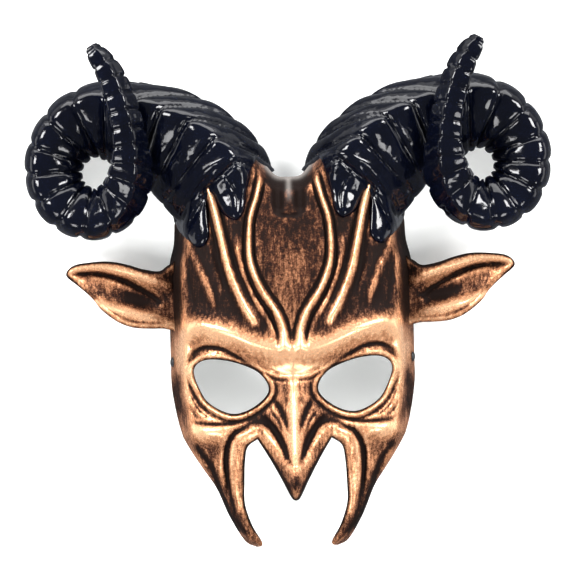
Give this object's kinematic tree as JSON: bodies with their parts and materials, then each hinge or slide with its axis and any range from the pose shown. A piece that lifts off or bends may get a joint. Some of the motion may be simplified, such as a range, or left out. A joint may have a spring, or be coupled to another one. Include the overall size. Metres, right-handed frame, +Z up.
{
  "type": "ram-horned half mask",
  "caption": "Devil half mask in antique copper with gloss black ram horns, pointed ears, hooked nose and cheek tusks, hung by its elastic strap.",
  "frame": {"origin": "where the strap hangs on its wall hook, above the forehead's inside", "axes": "+Z up, the mask faces -Y, +X to the viewer's right"},
  "size_m": [0.319, 0.0827, 0.3039],
  "materials": {
    "copper_paint": "moulded plastic shell, antique copper paint dry-brushed over dark brown",
    "black_gloss": "gloss blue-black lacquer",
    "black_plastic": "satin black",
    "black_metal": "black painted rivet",
    "steel": "zinc plated",
    "elastic": "woven black elastic",
    "foam": "soft black foam"
  },
  "bodies": {
    "mask": {"face_shell": "copper_paint", "left_horn_front_shell": "black_gloss", "left_horn_back_shell": "black_gloss", "left_ear": "copper_paint", "left_horn_screw_1": "steel", "left_horn_screw_2": "steel", "left_ear_screw": "steel", "left_strap_rivet": "black_metal", "left_strap_washer": "steel", "right_horn_front_shell": "black_gloss", "right_horn_back_shell": "black_gloss", "right_ear": "copper_paint", "right_horn_screw_1": "steel", "right_horn_screw_2": "steel", "right_ear_screw": "steel", "right_strap_rivet": "black_metal", "right_strap_washer": "steel", "elastic_strap": "elastic", "brow_foam_pad": "foam", "nose_foam_pad": "foam"},
    "slider": {"strap_slider": "black_plastic"}
  },
  "joints": [
    {"name": "slider_slide", "type": "slide", "parent": "mask", "child": "slider", "axis": [-0.6279, 0, 0.7783], "range_m": [-0.02, 0.04]}
  ]
}
